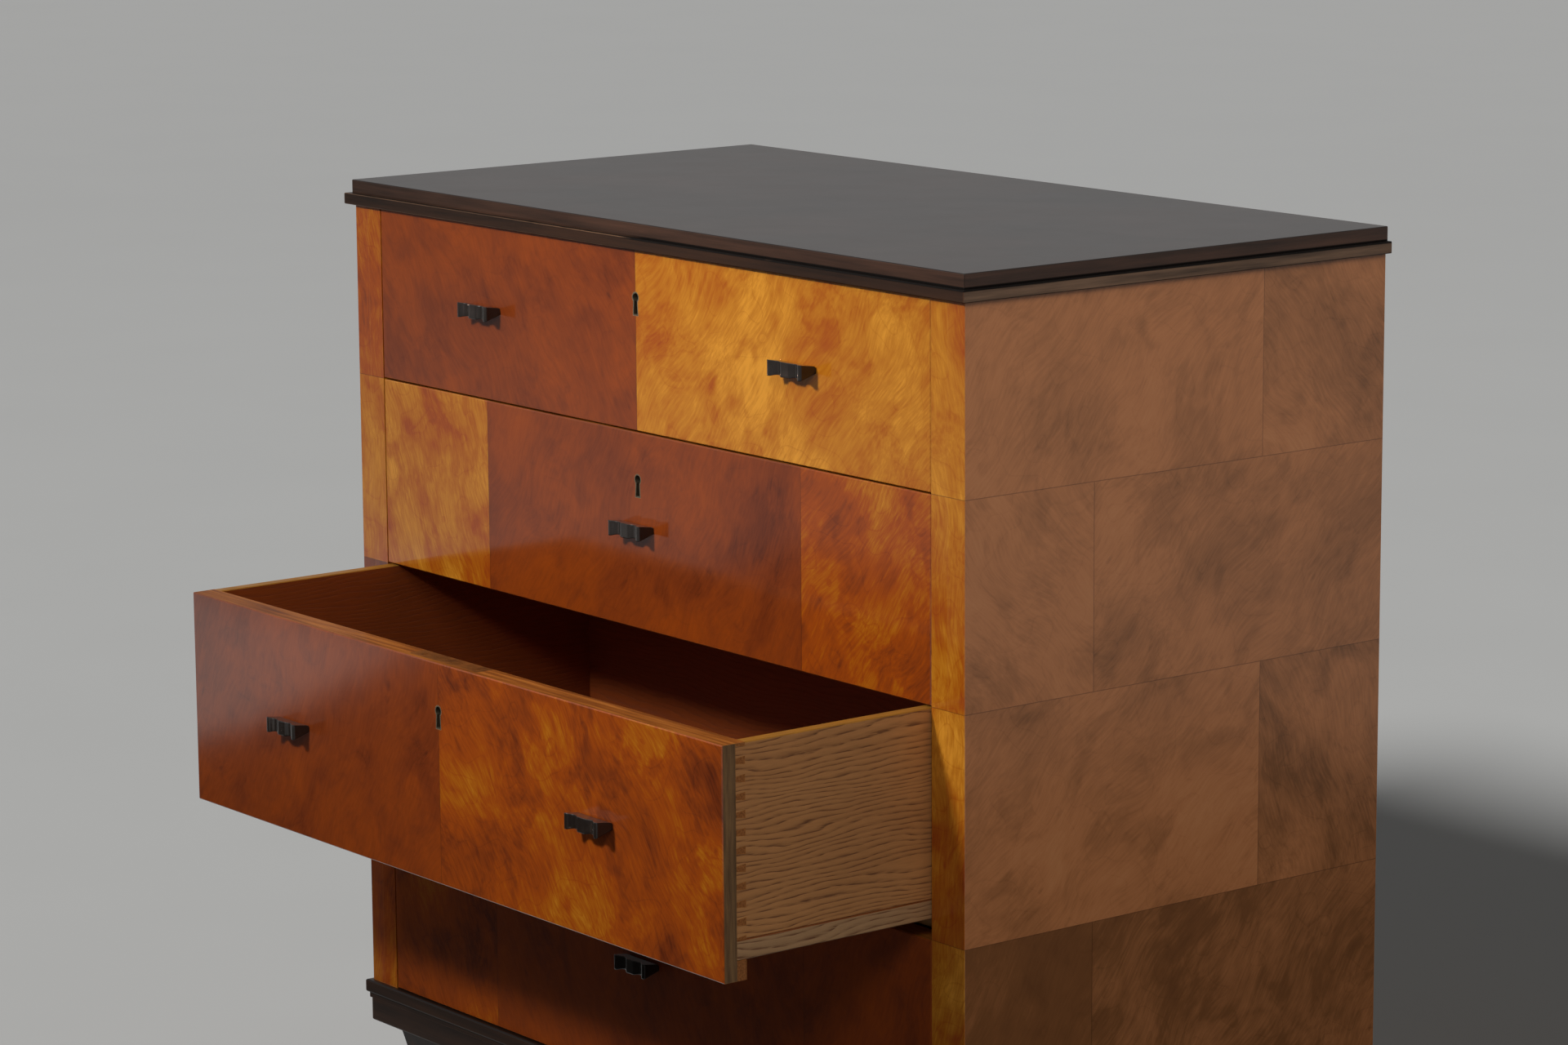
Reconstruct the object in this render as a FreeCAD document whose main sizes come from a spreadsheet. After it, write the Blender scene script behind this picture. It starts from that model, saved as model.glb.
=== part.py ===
import FreeCAD, Part
import os
import re

import Sketcher

# A chest of four graduated drawers on short tapered legs, in millimetres.
# X runs to the right, Y to the back and Z up. The origin is on the floor,
# under the middle of the case.

SIZES = {
    # Case
    "case_width": 850,
    "case_depth": 450,
    "side_thick": 20,
    "stile_width": 40,
    "corner_round": 1.2,
    "back_thick": 8,
    "back_rebate": 10,
    # Height taken by each drawer, from the top down
    "pitch_1": 154,
    "pitch_2": 169,
    "pitch_3": 188,
    "pitch_4": 211,
    # Two-tier top
    "slab_thick": 12,
    "slab_overhang": 2,
    "step_thick": 10,
    "step_overhang": 7,
    "step_strip": 60,
    "top_round": 1,
    # Moulded base
    "bead_height": 12,
    "bead_overhang": 5,
    "fillet_height": 5,
    "fillet_overhang": 2.5,
    "fascia_height": 22,
    "fascia_overhang": 1,
    "base_strip": 28,
    "base_round": 1.8,
    # Legs
    "leg_height": 150,
    "leg_top": 70,
    "leg_middle": 42,
    "leg_foot": 32,
    "leg_inset": 15.5,
    "leg_chamfer": 2,
    "spigot_radius": 12.5,
    "spigot_clear": 0.2,
    "spigot_cover": 8,
    # Rails, runners and guides that carry the drawers
    "rail_depth": 60,
    "rail_clear": 1,
    "runner_width": 50,
    "guide_height": 25,
    "run_clear": 0.3,
    "lip_clear": 0.5,
    # Drawer boxes
    "front_thick": 22,
    "front_gap": 1.5,
    "side_gap": 1,
    "lip_height": 16,
    "box_thick": 11,
    "box_back_clear": 12,
    "box_back_drop": 6,
    "box_ease": 0.8,
    "front_ease": 0.8,
    "slip_width": 20,
    "slip_height": 16,
    "floor_thick": 6,
    "floor_tongue": 6,
    # How far the third drawer stands open
    "open_3": 205,
    # Dovetails
    "lap_thick": 13,
    "tail_pitch": 12.9,
    "pin_wide": 6.5,
    "pin_narrow": 4.3,
    "back_pin_pitch": 36,
    "back_pin_wide": 12,
    "back_pin_narrow": 9,
    "joint_clear": 0.05,
    # Locks and keyholes
    "selvedge_length": 100,
    "selvedge_width": 17,
    "selvedge_thick": 2,
    "lock_width": 58,
    "lock_height": 58,
    "lock_depth": 12,
    "lock_cover": 2,
    "bolt_width": 28,
    "bolt_thick": 4.4,
    "bolt_height": 22,
    "bolt_throw": 7,
    "bolt_clear": 0.3,
    "mortise_clear": 1,
    "key_drop": 40,
    "key_head": 4.8,
    "key_neck": 6,
    "key_foot": 7.8,
    "key_length": 15.5,
    "key_rim": 1.1,
    # Carved pulls
    "pull_spread": 440,
    "pull_length": 44,
    "pull_height": 13,
    "pull_reach": 16,
    "pull_top_fall": 2.3,
    "pull_under_rise": 5,
    "pull_lift": 2,
    "pull_heel_round": 3,
    "pull_end_round": 1.5,
    "valley_radius": 6.5,
    "valley_depth": 3.7,
    "valley_offset": 11.2,
    "lobe_shy": 1.1,
    "lobe_round": 4,
    "peg_radius": 1.3,
    "peg_length": 14,
    "peg_offset": 11,
    "peg_clear": 0.15,
    # How far a cutting shape runs past the wood
    "overrun": 1,
}

# Levels and places that follow from the sizes
PLACES = {
    "case_front": "-case_depth / 2",
    "case_back": "case_depth / 2",
    "panel_front": "case_back - back_thick",
    "inner_width": "case_width - 2 * side_thick",
    "base_height": "bead_height + fillet_height + fascia_height",
    "base_top": "leg_height + base_height",
    "line_4": "leg_height + base_height",
    "line_3": "line_4 + pitch_4",
    "line_2": "line_3 + pitch_3",
    "line_1": "line_2 + pitch_2",
    "case_top": "line_1 + pitch_1",
    "run_level": "front_gap / 2 + lip_height - run_clear",
    "rail_setback": "front_thick + lip_clear",
    "rail_front": "case_front + rail_setback",
    "front_width": "case_width - 2 * (stile_width + side_gap)",
    "box_length": "case_depth - back_thick - box_back_clear",
    "box_foot": "lip_height + slip_height",
    "tail_length": "front_thick - lap_thick",
    "bolt_middle": "front_thick - selvedge_width / 2",
    "spigot_length": "base_height - spigot_cover",
    "peg_rise": "(pull_under_rise + pull_height - pull_top_fall - pull_heel_round) / 2",
}

DRAWERS = (1, 2, 3, 4)
OPENING = {1: "0", 2: "0", 3: "open_3", 4: "0"}
PULLS = {1: (-1, 1), 2: (0,), 3: (-1, 1), 4: (0,)}
HANDS = {"left": -1, "right": 1}

for n in DRAWERS:
    PLACES[f"front_height_{n}"] = f"pitch_{n} - front_gap"
    PLACES[f"box_height_{n}"] = f"front_height_{n} - box_foot"
    PLACES[f"tail_count_{n}"] = f"floor(box_height_{n} / tail_pitch)"
    PLACES[f"tail_step_{n}"] = f"box_height_{n} / tail_count_{n}"
    PLACES[f"back_height_{n}"] = f"box_height_{n} - box_back_drop"
    PLACES[f"pin_count_{n}"] = f"floor(back_height_{n} / back_pin_pitch)"
    PLACES[f"pin_step_{n}"] = f"back_height_{n} / pin_count_{n}"
    PLACES[f"key_level_{n}"] = f"front_height_{n} - key_drop"
    PLACES[f"pull_foot_{n}"] = f"front_height_{n} / 2 + pull_lift - pull_height / 2"
    PLACES[f"peg_level_{n}"] = f"pull_foot_{n} + peg_rise"

doc = FreeCAD.newDocument("ChestOfDrawers")
sheet = doc.addObject("Spreadsheet::Sheet", "Sizes")
cells = {**SIZES, **{name: "=" + formula for name, formula in PLACES.items()}}
for row, (name, content) in enumerate(cells.items(), start=1):
    sheet.set(f"A{row}", name)
    sheet.set(f"B{row}", str(content))
    sheet.setAlias(f"B{row}", name)
doc.recompute()

pieces = {}


# Ties between the sheet and the model

def tied(expression):
    """The expression with the sheet's name in front of each of its sizes."""
    return re.sub(r"[a-z]\w+", lambda m: "Sizes." + m[0] if m[0] in cells else m[0], expression)


def number(expression):
    return float(sheet.evalExpression(tied(expression)))


def tie(thing, prop, expression):
    thing.setExpression(prop, tied(expression))


def tie_base(thing, prop, spot):
    for axis, expression in zip("xyz", spot):
        tie(thing, f"{prop}.Base.{axis}", expression)


def keep(thing, label):
    """Count a document object as a finished piece."""
    thing.Label = label
    pieces[label] = thing
    return thing


def group(label, members):
    """One piece made of several alike solids."""
    compound = doc.addObject("Part::Compound", label)
    compound.Links = members
    return keep(compound, label)


def low_x(hand, outer, width):
    """Low X of something that lies inward of an outer face on one hand."""
    return f"{outer} - ({width})" if hand > 0 else f"-({outer})"


# Boards and features

def board(name, low, size):
    box = doc.addObject("Part::Box", name)
    for side, expression in zip(("Length", "Width", "Height"), size):
        tie(box, side, expression)
    tie_base(box, "Placement", low)
    return box


def block(body, kind, low, size):
    """Add or cut a rectangular block: kind is Additive or Subtractive."""
    box = body.newObject(f"PartDesign::{kind}Box", "Block")
    for side, expression in zip(("Length", "Width", "Height"), size):
        tie(box, side, expression)
    tie_base(box, "Placement", low)
    return box


def rod(body, kind, low, radius, length, along="Z"):
    """Add or cut a round rod that runs up from its low end, or back from it."""
    cylinder = body.newObject(f"PartDesign::{kind}Cylinder", "Rod")
    tie(cylinder, "Radius", radius)
    tie(cylinder, "Height", length)
    if along == "Y":
        quarter_turn = FreeCAD.Rotation(FreeCAD.Vector(1, 0, 0), -90)
        cylinder.Placement = FreeCAD.Placement(FreeCAD.Vector(), quarter_turn)
    tie_base(cylinder, "Placement", low)
    return cylinder


def origin_part(body, role):
    return next(part for part in body.Origin.OriginFeatures if part.Role == role)


def sketch_on(body, plane, spot, corners):
    """A closed straight-sided sketch; corners are measured from its own origin."""
    sketch = body.newObject("Sketcher::SketchObject", "Outline")
    sketch.AttachmentSupport = [(origin_part(body, plane), "")]
    sketch.MapMode = "FlatFace"
    tie_base(sketch, "AttachmentOffset", spot)
    spots = [FreeCAD.Vector(number(x), number(y), 0) for x, y in corners]
    for i, start in enumerate(spots):
        sketch.addGeometry(Part.LineSegment(start, spots[(i + 1) % len(spots)]))
    for i in range(len(spots)):
        sketch.addConstraint(Sketcher.Constraint("Coincident", i, 2, (i + 1) % len(spots), 1))
    axes = (("DistanceX", -2), ("DistanceY", -1))
    for i, corner in enumerate(corners):
        for (kind, axis), expression, value in zip(axes, corner, spots[i]):
            if expression == "0":
                sketch.addConstraint(Sketcher.Constraint("PointOnObject", i, 1, axis))
            else:
                place = sketch.addConstraint(Sketcher.Constraint(kind, -1, 1, i, 1, value))
                tie(sketch, f"Constraints[{place}]", expression)
    return sketch


def prism(body, kind, sketch, length):
    """A Pad or Pocket that reaches equally far to both sides of its sketch."""
    feature = body.newObject(f"PartDesign::{kind}", kind)
    feature.Profile = sketch
    feature.SideType = "Symmetric"
    tie(feature, "Length", length)
    return feature


def chosen_edges(body, is_chosen):
    """The edges of the body's last feature that is_chosen picks, as a link to them."""
    doc.recompute()
    edges = enumerate(body.Tip.Shape.Edges, start=1)
    return body.Tip, [f"Edge{i}" for i, edge in edges if is_chosen(edge)]


def round_edges(body, radius, is_chosen):
    picked = chosen_edges(body, is_chosen)
    fillet = body.newObject("PartDesign::Fillet", "Round")
    fillet.Base = picked
    tie(fillet, "Radius", radius)


def chamfer_edges(body, size, is_chosen):
    picked = chosen_edges(body, is_chosen)
    chamfer = body.newObject("PartDesign::Chamfer", "Ease")
    chamfer.Base = picked
    tie(chamfer, "Size", size)


def lies_at(edge, **spot):
    """Whether every end of an edge has the given coordinates."""
    ends = [vertex.Point for vertex in edge.Vertexes]
    return all(abs(getattr(end, axis) - value) < Part.Precision.confusion()
               for end in ends for axis, value in spot.items())


def is_upright(edge):
    return lies_at(edge, x=edge.CenterOfMass.x, y=edge.CenterOfMass.y)


# Case

def side_panel(name, hand):
    """A side with a rebate for the back panel and a softened front corner."""
    body = doc.addObject("PartDesign::Body", f"side_{name}")
    block(body, "Additive",
          (low_x(hand, "case_width / 2", "side_thick"), "case_front", "base_top"),
          ("side_thick", "case_depth", "case_top - base_top"))
    block(body, "Subtractive",
          (low_x(hand, "inner_width / 2 + back_rebate", "back_rebate"), "panel_front", "base_top"),
          ("back_rebate", "back_thick", "case_top - base_top"))
    corner = {"x": hand * number("case_width / 2"), "y": number("case_front")}
    round_edges(body, "corner_round", lambda edge: lies_at(edge, **corner))
    keep(body, f"side_{name}")


def stile(name, hand):
    """The inner half of a front stile, beside the side panel's edge."""
    width = "stile_width - side_thick"
    keep(board(f"stile_{name}",
               (low_x(hand, "inner_width / 2", width), "case_front", "base_top"),
               (width, "rail_setback", "case_top - base_top")), f"stile_{name}")


def case_boards():
    width = "inner_width + 2 * back_rebate"
    keep(board("back_panel", (f"-({width}) / 2", "panel_front", "base_top"),
               (width, "back_thick", "case_top - base_top")), "back_panel")
    keep(board("bottom_board", ("-inner_width / 2", "rail_front", "base_top"),
               ("inner_width", "panel_front - rail_front", "run_level")), "bottom_board")


def drawer_supports():
    """Rails and runners below the upper drawers, and guides beside all of them."""
    rails, runners, guides = [], [], []
    thick = "run_level - rail_clear"
    runner_front = "rail_front + rail_depth"
    guide_width = "stile_width - side_thick"
    for n in DRAWERS:
        level = f"line_{n} + rail_clear"
        if n < DRAWERS[-1]:
            rails.append(board(f"rail_{n}", ("-inner_width / 2", "rail_front", level),
                               ("inner_width", "rail_depth", thick)))
        for name, hand in HANDS.items():
            if n < DRAWERS[-1]:
                runners.append(board(
                    f"runner_{n}_{name}",
                    (low_x(hand, "inner_width / 2", "runner_width"), runner_front, level),
                    ("runner_width", f"panel_front - ({runner_front})", thick)))
            guides.append(board(
                f"guide_{n}_{name}",
                (low_x(hand, "inner_width / 2", guide_width), "rail_front", f"line_{n} + run_level"),
                (guide_width, "panel_front - rail_front", "guide_height")))
    group("drawer_rails", rails)
    group("drawer_runners", runners)
    group("drawer_guides", guides)


# Mouldings

# Each corner with whether it is rounded
STEP_OUTLINE = (
    ("0", "0", True),
    ("step_overhang + step_strip", "0", False),
    ("step_overhang + step_strip", "step_thick", False),
    ("0", "step_thick", True),
)
BASE_OUTLINE = (
    ("bead_overhang - fascia_overhang", "0", True),
    ("bead_overhang + base_strip", "0", False),
    ("bead_overhang + base_strip", "base_height", False),
    ("0", "base_height", True),
    ("0", "fascia_height + fillet_height", True),
    ("bead_overhang - fillet_overhang", "fascia_height + fillet_height", False),
    ("bead_overhang - fillet_overhang", "fascia_height", False),
    ("bead_overhang - fascia_overhang", "fascia_height", False),
)


def moulding(label, outline, sizes, length, mitres, place, turn):
    """A straight moulding, mitred at its start, its end or both.

    It runs along its own X with its face towards -Y, and turn swings it round Z.
    """
    overhang, strip, height, radius = sizes
    body = doc.addObject("PartDesign::Body", label)
    at_start, at_end = mitres
    before = overhang if at_start else "0"
    after = overhang if at_end else "0"
    middle = f"({length} + {after} - {before}) / 2"
    spots = [(y, z) for y, z, is_round in outline]
    profile = sketch_on(body, "YZ_Plane", (f"-{overhang}", "0", middle), spots)
    prism(body, "Pad", profile, f"{length} + {before} + {after}")
    corners = [(number(f"{y} - {overhang}"), number(z)) for y, z, is_round in outline if is_round]
    round_edges(body, radius, lambda edge: any(lies_at(edge, y=y, z=z) for y, z in corners))
    leg = f"{overhang} + {strip} + 2 * overrun"
    low_y = f"-{overhang} - overrun"
    if at_start:
        triangle = (("0", "0"), (leg, leg), ("0", leg))
        cut = sketch_on(body, "XY_Plane", (low_y, low_y, "0"), triangle)
        prism(body, "Pocket", cut, f"2 * ({height} + overrun)")
    if at_end:
        triangle = ((leg, "0"), (leg, leg), ("0", leg))
        cut = sketch_on(body, "XY_Plane", (f"{length} - {strip} - overrun", low_y, "0"), triangle)
        prism(body, "Pocket", cut, f"2 * ({height} + overrun)")
    body.Placement = FreeCAD.Placement(
        FreeCAD.Vector(), FreeCAD.Rotation(FreeCAD.Vector(0, 0, 1), turn))
    tie_base(body, "Placement", place)
    return keep(body, label)


def moulding_set(name, outline, sizes, level):
    """Front, right and left mouldings that meet in mitres at the front corners."""
    front = moulding(f"{name}_front", outline, sizes, "case_width", (True, True),
                     ("-case_width / 2", "case_front", level), 0)
    moulding(f"{name}_right", outline, sizes, "case_depth", (True, False),
             ("case_width / 2", "case_front", level), 90)
    moulding(f"{name}_left", outline, sizes, "case_depth", (False, True),
             ("-case_width / 2", "case_back", level), -90)
    return front


def top():
    sizes = ("step_overhang", "step_strip", "step_thick", "top_round")
    strip = moulding_set("top_moulding", STEP_OUTLINE, sizes, "case_top")
    width = "bolt_width + 2 * mortise_clear"
    depth = "bolt_thick + 2 * mortise_clear"
    block(strip, "Subtractive",
          (f"(case_width - ({width})) / 2", f"bolt_middle - ({depth}) / 2", "-overrun"),
          (width, depth, "step_thick + 2 * overrun"))
    keep(board("top_rail_back",
               ("step_strip - case_width / 2", "case_back - step_strip", "case_top"),
               ("case_width - 2 * step_strip", "step_strip", "step_thick")), "top_rail_back")
    slab = doc.addObject("PartDesign::Body", "top_board")
    low = ("-case_width / 2 - slab_overhang", "case_front - slab_overhang", "case_top + step_thick")
    block(slab, "Additive", low,
          ("case_width + 2 * slab_overhang", "case_depth + slab_overhang", "slab_thick"))
    high_z = number("case_top + step_thick + slab_thick")
    front_y = number("case_front - slab_overhang")
    half_width = number("case_width / 2 + slab_overhang")
    round_edges(slab, "top_round", lambda edge: (
        lies_at(edge, y=front_y, z=high_z)
        or lies_at(edge, x=half_width, z=high_z)
        or lies_at(edge, x=-half_width, z=high_z)
        or lies_at(edge, x=half_width, y=front_y)
        or lies_at(edge, x=-half_width, y=front_y)))
    keep(slab, "top_board")


def leg_and_block(hand_x, hand_y):
    """A leg with chamfered arrises that sweeps in to its foot, and the block that takes its spigot."""
    leg = doc.addObject("PartDesign::Body", "Leg")
    sections = []
    levels = (("leg_top", "leg_height"), ("leg_middle", "leg_height / 2"), ("leg_foot", "0"))
    for side, level in levels:
        near, far = "leg_chamfer", f"{side} - leg_chamfer"
        square = ((near, "0"), (far, "0"), (side, near), (side, far),
                  (far, side), (near, side), ("0", far), ("0", near))
        sections.append(sketch_on(leg, "XY_Plane", (f"-{side} / 2", f"-{side} / 2", level), square))
    loft = leg.newObject("PartDesign::AdditiveLoft", "Sweep")
    loft.Profile = sections[0]
    loft.Sections = sections[1:]
    rod(leg, "Additive", ("0", "0", "leg_height"), "spigot_radius", "spigot_length")
    inset = "leg_inset + leg_top / 2"
    middle = (f"{hand_x} * (case_width / 2 - ({inset}))", f"{hand_y} * (case_depth / 2 - ({inset}))")
    tie_base(leg, "Placement", (*middle, "0"))

    corner = doc.addObject("PartDesign::Body", "CornerBlock")
    side = "leg_inset + leg_top - base_strip"
    block(corner, "Additive",
          (low_x(hand_x, "case_width / 2 - base_strip", side),
           low_x(hand_y, "case_depth / 2 - base_strip", side), "leg_height"),
          (side, side, "base_height"))
    rod(corner, "Subtractive", (*middle, "leg_height"),
        "spigot_radius + spigot_clear", "spigot_length + spigot_clear")
    return leg, corner


def base():
    sizes = ("bead_overhang", "base_strip", "base_height", "base_round")
    moulding_set("base_moulding", BASE_OUTLINE, sizes, "leg_height")
    keep(board("base_rail_back",
               ("base_strip - case_width / 2", "case_back - base_strip", "leg_height"),
               ("case_width - 2 * base_strip", "base_strip", "base_height")), "base_rail_back")
    corners = [leg_and_block(x, y) for x in HANDS.values() for y in HANDS.values()]
    group("legs", [leg for leg, corner in corners])
    group("corner_blocks", [corner for leg, corner in corners])


# Drawers, each piece in a frame at the middle of the front's lower front edge

def drawer_body(n, name):
    body = doc.addObject("PartDesign::Body", f"drawer_{n}_{name}")
    tie_base(body, "Placement",
             ("0", f"case_front - {OPENING[n]}", f"line_{n} + front_gap / 2"))
    return body


def dovetail_row(body, kind, first, wide, narrow, length, wide_at_front, thick, count, step):
    """A row of dovetail shapes up the Z axis, cut or added across the X axis.

    first is the middle of the front edge of the lowest one.
    """
    x, y, z = first
    inset = f"(({wide}) - ({narrow})) / 2"
    far = f"(({wide}) + ({narrow})) / 2"
    if wide_at_front:
        corners = (("0", "0"), (length, inset), (length, far), ("0", wide))
    else:
        corners = (("0", inset), (length, "0"), (length, wide), ("0", far))
    sketch = sketch_on(body, "YZ_Plane", (y, f"{z} - ({wide}) / 2", x), corners)
    shape = prism(body, kind, sketch, thick)
    row = body.newObject("PartDesign::LinearPattern", "Row")
    row.Originals = [shape]
    row.Direction = (origin_part(body, "Z_Axis"), [""])
    row.Mode = "Spacing"
    tie(row, "Offset", step)
    tie(row, "Occurrences", count)
    body.Tip = row


def keyhole(body, kind, n, grow, low_y, depth):
    """A keyhole shape through part of a front: a round head over a flaring slot."""
    level = f"key_level_{n}"
    neck = f"key_neck + 2 * ({grow})"
    foot = f"key_foot + 2 * ({grow})"
    tall = f"key_length + ({grow})"
    corners = (("0", "0"), (foot, "0"),
               (f"(({foot}) + ({neck})) / 2", tall), (f"(({foot}) - ({neck})) / 2", tall))
    rod(body, kind, ("0", low_y, level), f"key_head + ({grow})", depth, along="Y")
    middle = f"-({low_y}) - ({depth}) / 2"
    sketch = sketch_on(body, "XZ_Plane", (f"-({foot}) / 2", f"{level} - ({tall})", middle), corners)
    prism(body, "Pad" if kind == "Additive" else "Pocket", sketch, depth)


def drawer_front(n):
    """A front with sockets for the sides, and recesses for its lock and pulls."""
    body = drawer_body(n, "front")
    top_edge = f"front_height_{n}"
    block(body, "Additive", ("-front_width / 2", "0", "0"), ("front_width", "front_thick", top_edge))
    chamfer_edges(body, "front_ease", lambda edge: lies_at(edge, y=0))
    for hand in HANDS.values():
        dovetail_row(body, "Pocket",
                     (f"{hand} * (front_width - box_thick) / 2", "lap_thick",
                      f"box_foot + tail_step_{n} / 2"),
                     f"tail_step_{n} - pin_narrow + 2 * joint_clear",
                     f"tail_step_{n} - pin_wide + 2 * joint_clear",
                     "tail_length", True, "box_thick", f"tail_count_{n}", f"tail_step_{n}")
        block(body, "Subtractive",
              (low_x(hand, "front_width / 2", "slip_width"), "lap_thick", "lip_height"),
              ("slip_width", "tail_length", "slip_height"))
    block(body, "Subtractive",
          ("slip_width - front_width / 2", "front_thick - floor_tongue", "box_foot - floor_thick"),
          ("front_width - 2 * slip_width", "floor_tongue", "floor_thick"))
    block(body, "Subtractive",
          ("-selvedge_length / 2", "front_thick - selvedge_width", f"{top_edge} - selvedge_thick"),
          ("selvedge_length", "selvedge_width", "selvedge_thick"))
    block(body, "Subtractive",
          ("-lock_width / 2", "front_thick - lock_depth", f"{top_edge} - selvedge_thick - lock_height"),
          ("lock_width", "lock_depth", "lock_height"))
    keyhole(body, "Subtractive", n, "0", "0", "front_thick - lock_depth")
    for place in PULLS[n]:
        for hand in HANDS.values():
            rod(body, "Subtractive",
                (f"{place} * pull_spread / 2 + {hand} * peg_offset", "0", f"peg_level_{n}"),
                "peg_radius + peg_clear", "peg_length + peg_clear", along="Y")
    if n < DRAWERS[-1]:
        width = "bolt_width + 2 * mortise_clear"
        depth = "bolt_thick + 2 * mortise_clear"
        block(body, "Subtractive",
              (f"-({width}) / 2", f"bolt_middle - ({depth}) / 2", "0"),
              (width, depth, "bolt_throw + mortise_clear"))
    keep(body, f"drawer_{n}_front")


def drawer_side(n, name, hand):
    """A side with tails at both ends."""
    body = drawer_body(n, f"side_{name}")
    block(body, "Additive",
          (low_x(hand, "front_width / 2", "box_thick"), "lap_thick + joint_clear", "box_foot"),
          ("box_thick", "box_length - lap_thick - joint_clear", f"box_height_{n}"))
    outer = hand * number("front_width / 2")
    inner = hand * number("front_width / 2 - box_thick")
    foot, head = number("box_foot"), number(f"front_height_{n}")
    chamfer_edges(body, "box_ease", lambda edge: (
        lies_at(edge, x=outer, z=foot) or lies_at(edge, x=outer, z=head) or lies_at(edge, x=inner, z=head)))
    middle = f"{hand} * (front_width - box_thick) / 2"
    through = "box_thick + 2 * overrun"
    dovetail_row(body, "Pocket", (middle, "lap_thick", "box_foot"), "pin_wide", "pin_narrow",
                 "tail_length", False, through, f"tail_count_{n} + 1", f"tail_step_{n}")
    dovetail_row(body, "Pocket", (middle, "box_length - box_thick", f"box_foot + pin_step_{n} / 2"),
                 "back_pin_wide", "back_pin_narrow", "box_thick", True, through,
                 f"pin_count_{n}", f"pin_step_{n}")
    keep(body, f"drawer_{n}_side_{name}")


def drawer_back(n):
    """A back that stands on the floor panel, with pins through both sides."""
    body = drawer_body(n, "back")
    width = "front_width - 2 * box_thick"
    block(body, "Additive", (f"-({width}) / 2", "box_length - box_thick", "box_foot"),
          (width, "box_thick", f"back_height_{n}"))
    for hand in HANDS.values():
        dovetail_row(body, "Pad",
                     (f"{hand} * (front_width - box_thick) / 2", "box_length - box_thick",
                      f"box_foot + pin_step_{n} / 2"),
                     "back_pin_wide - 2 * joint_clear", "back_pin_narrow - 2 * joint_clear",
                     "box_thick", True, "box_thick", f"pin_count_{n}", f"pin_step_{n}")
    keep(body, f"drawer_{n}_back")


def drawer_floor(n):
    """Slips under the sides, rebated for the floor panel that lies between them."""
    slips = []
    ledge = "slip_width - box_thick"
    low_y = "lap_thick + joint_clear"
    for name, hand in HANDS.items():
        slip = drawer_body(n, f"slip_{name}")
        block(slip, "Additive", (low_x(hand, "front_width / 2", "slip_width"), low_y, "lip_height"),
              ("slip_width", f"box_length - ({low_y})", "slip_height"))
        outer = hand * number("front_width / 2")
        foot, head = number("lip_height"), number("box_foot")
        chamfer_edges(slip, "box_ease", lambda edge: (
            lies_at(edge, x=outer, z=foot) or lies_at(edge, x=outer, z=head)))
        block(slip, "Subtractive",
              (low_x(hand, "front_width / 2 - box_thick", ledge), low_y, "box_foot - floor_thick"),
              (ledge, f"box_length - ({low_y})", "floor_thick"))
        slips.append(slip)
    group(f"drawer_{n}_slips", slips)
    panel = drawer_body(n, "bottom")
    front_edge = "front_thick - floor_tongue"
    width = "front_width - 2 * box_thick"
    block(panel, "Additive", (f"-({width}) / 2", "front_thick", "box_foot - floor_thick"),
          (width, "box_length - front_thick", "floor_thick"))
    tongue = "front_width - 2 * slip_width"
    block(panel, "Additive", (f"-({tongue}) / 2", front_edge, "box_foot - floor_thick"),
          (tongue, "floor_tongue", "floor_thick"))
    keep(panel, f"drawer_{n}_bottom")


def drawer_lock(n):
    """A lock let into the front, its rising bolt, and the keyhole's metal lining."""
    top_edge = f"front_height_{n}"
    channel = ("bolt_width + 2 * bolt_clear", "bolt_thick + 2 * bolt_clear", "bolt_height + bolt_clear")
    lock = drawer_body(n, "lock")
    block(lock, "Additive",
          ("-lock_width / 2", "front_thick - lock_depth", f"{top_edge} - selvedge_thick - lock_height"),
          ("lock_width", "lock_depth", "lock_height"))
    block(lock, "Additive",
          ("-selvedge_length / 2", "front_thick - selvedge_width", f"{top_edge} - selvedge_thick"),
          ("selvedge_length", "selvedge_width", "selvedge_thick"))
    block(lock, "Subtractive",
          (f"-({channel[0]}) / 2", f"bolt_middle - ({channel[1]}) / 2", f"{top_edge} - ({channel[2]})"),
          channel)
    keyhole(lock, "Subtractive", n, "-key_rim", "front_thick - lock_depth", "lock_depth - lock_cover")
    keep(lock, f"drawer_{n}_lock")

    bolt = drawer_body(n, "lock_bolt")
    block(bolt, "Additive",
          ("-bolt_width / 2", "bolt_middle - bolt_thick / 2", f"{top_edge} - bolt_height"),
          ("bolt_width", "bolt_thick", "bolt_height"))
    keep(bolt, f"drawer_{n}_lock_bolt")

    lining = drawer_body(n, "escutcheon")
    keyhole(lining, "Additive", n, "-joint_clear", "0", "front_thick - lock_depth")
    keyhole(lining, "Subtractive", n, "-key_rim", "0", "front_thick - lock_depth")
    keep(lining, f"drawer_{n}_escutcheon")


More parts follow.
